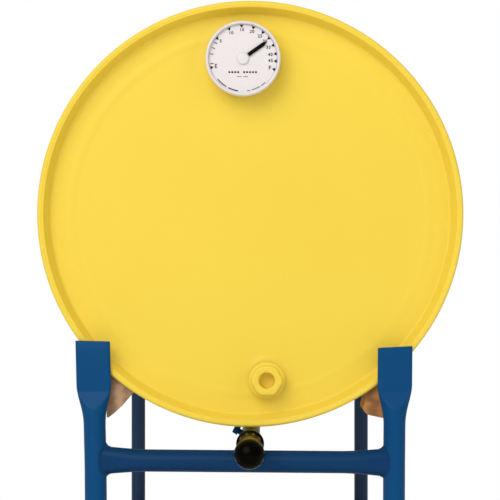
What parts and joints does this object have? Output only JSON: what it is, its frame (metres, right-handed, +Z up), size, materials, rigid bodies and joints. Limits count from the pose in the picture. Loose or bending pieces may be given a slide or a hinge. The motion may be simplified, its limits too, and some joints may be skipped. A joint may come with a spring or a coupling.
{
  "type": "drum dolly",
  "caption": "Tubular cradle dolly on casters carrying a steel drum on its side, with a float level gauge, a bung plug and a pull handle.",
  "frame": {"origin": "centre of the footprint of the whole object's box, on the floor the casters stand on", "axes": "+Z up, -Y the way the pull handle and the level gauge face, +X to the right seen from the gauge"},
  "size_m": [0.597, 1.05, 0.991],
  "materials": {
    "frame_blue": "gloss enamel, deep blue",
    "drum_yellow": "gloss enamel, warm yellow",
    "zinc_steel": "bright zinc plate",
    "grip_black": "glossy moulded plastic",
    "wheel_core": "moulded nylon",
    "tyre_rubber": "black rubber",
    "hardwood": "oiled hardwood with visible grain",
    "gauge_white": "white moulded plastic",
    "gauge_lens": "clear lens",
    "needle_black": "black",
    "seal_rubber": "black rubber"
  },
  "bodies": {
    "dolly_frame": {"front_post_left": "frame_blue", "side_rail_left": "frame_blue", "lower_side_rail_left": "frame_blue", "front_mounting_plate_left": "frame_blue", "rear_mounting_plate_left": "frame_blue", "front_post_right": "frame_blue", "side_rail_right": "frame_blue", "lower_side_rail_right": "frame_blue", "front_mounting_plate_right": "frame_blue", "rear_mounting_plate_right": "frame_blue", "front_cross_tube": "frame_blue", "lower_front_cross_tube": "frame_blue", "lower_rear_cross_tube": "frame_blue", "handle_sleeve": "frame_blue", "sleeve_gusset": "frame_blue", "handle_guide": "frame_blue", "chock_left": "hardwood", "chock_right": "hardwood", "rigid_fork_left": "zinc_steel", "rigid_fork_right": "zinc_steel", "swivel_plate_left": "zinc_steel", "swivel_plate_right": "zinc_steel", "front_wheel_left_axle": "zinc_steel", "front_wheel_right_axle": "zinc_steel"},
    "drum": {"drum_shell": "drum_yellow", "drum_front_head": "drum_yellow", "drum_rear_head": "drum_yellow", "gauge_bung_flange": "zinc_steel", "small_bung_flange": "zinc_steel", "bung_plug_gasket": "seal_rubber", "gauge_case": "gauge_white", "gauge_gasket": "seal_rubber", "gauge_dial": "gauge_white", "gauge_lens": "gauge_lens", "float_bracket": "zinc_steel"},
    "plug": {"bung_plug": "drum_yellow"},
    "float_arm_body": {"float_arm": "zinc_steel", "float": "needle_black"},
    "needle": {"gauge_needle": "needle_black"},
    "handle": {"handle_grip": "grip_black", "handle_rod": "zinc_steel", "handle_stop_collar": "zinc_steel"},
    "lock_screw": {"handle_lock_screw": "frame_blue"},
    "front_wheel_left": {"front_wheel_left_core": "wheel_core", "front_wheel_left_tyre": "tyre_rubber"},
    "swivel_left": {"swivel_fork_left": "zinc_steel", "rear_wheel_left_axle": "zinc_steel"},
    "rear_wheel_left": {"rear_wheel_left_core": "wheel_core", "rear_wheel_left_tyre": "tyre_rubber"},
    "brake_left": {"brake_pedal_left": "zinc_steel"},
    "front_wheel_right": {"front_wheel_right_core": "wheel_core", "front_wheel_right_tyre": "tyre_rubber"},
    "swivel_right": {"swivel_fork_right": "zinc_steel", "rear_wheel_right_axle": "zinc_steel"},
    "rear_wheel_right": {"rear_wheel_right_core": "wheel_core", "rear_wheel_right_tyre": "tyre_rubber"},
    "brake_right": {"brake_pedal_right": "zinc_steel"}
  },
  "joints": [
    {"name": "drum_lift", "type": "slide", "parent": "dolly_frame", "child": "drum", "axis": [0, 0, 1], "range_m": [0, 0.3]},
    {"name": "plug_removal", "type": "slide", "parent": "drum", "child": "plug", "axis": [0, -1, 0], "range_m": [0, 0.05]},
    {"name": "float_swing", "type": "hinge", "parent": "drum", "child": "float_arm_body", "pos_m": [-0.0097, -0.274, 0.9043], "axis": [1, 0, 0], "range_deg": [-63.4, 21.6]},
    {"name": "needle_sweep", "type": "hinge", "parent": "drum", "child": "needle", "pos_m": [-0.0097, -0.36, 0.9043], "axis": [0, 1, 0], "range_deg": [-160.3, 54.7]},
    {"name": "handle_slide", "type": "slide", "parent": "dolly_frame", "child": "handle", "axis": [0, -1, 0], "range_m": [0, 0.365]},
    {"name": "lock_screw_turn", "type": "hinge", "parent": "dolly_frame", "child": "lock_screw", "pos_m": [0, -0.3, 0.38], "axis": [-0.866, 0, 0.5], "range_deg": [0, 360]},
    {"name": "front_wheel_left_spin", "type": "hinge", "parent": "dolly_frame", "child": "front_wheel_left", "pos_m": [-0.2109, -0.336, 0.0635], "axis": [1, 0, 0], "continuous": true},
    {"name": "caster_left_swivel", "type": "hinge", "parent": "dolly_frame", "child": "swivel_left", "pos_m": [-0.2109, 0.375, 0.14], "axis": [0, 0, 1], "continuous": true},
    {"name": "rear_wheel_left_spin", "type": "hinge", "parent": "swivel_left", "child": "rear_wheel_left", "pos_m": [-0.2109, 0.41, 0.0635], "axis": [1, 0, 0], "continuous": true},
    {"name": "brake_left_press", "type": "hinge", "parent": "swivel_left", "child": "brake_left", "pos_m": [-0.2109, 0.455, 0.118], "axis": [1, 0, 0], "range_deg": [-14, 0]},
    {"name": "front_wheel_right_spin", "type": "hinge", "parent": "dolly_frame", "child": "front_wheel_right", "pos_m": [0.1965, -0.336, 0.0635], "axis": [1, 0, 0], "continuous": true},
    {"name": "caster_right_swivel", "type": "hinge", "parent": "dolly_frame", "child": "swivel_right", "pos_m": [0.1965, 0.375, 0.14], "axis": [0, 0, 1], "continuous": true},
    {"name": "rear_wheel_right_spin", "type": "hinge", "parent": "swivel_right", "child": "rear_wheel_right", "pos_m": [0.1965, 0.41, 0.0635], "axis": [1, 0, 0], "continuous": true},
    {"name": "brake_right_press", "type": "hinge", "parent": "swivel_right", "child": "brake_right", "pos_m": [0.1965, 0.455, 0.118], "axis": [1, 0, 0], "range_deg": [-14, 0]}
  ],
  "couplings": [
    {"joint": "needle_sweep", "follows": "float_swing", "ratio": 2.527}
  ]
}
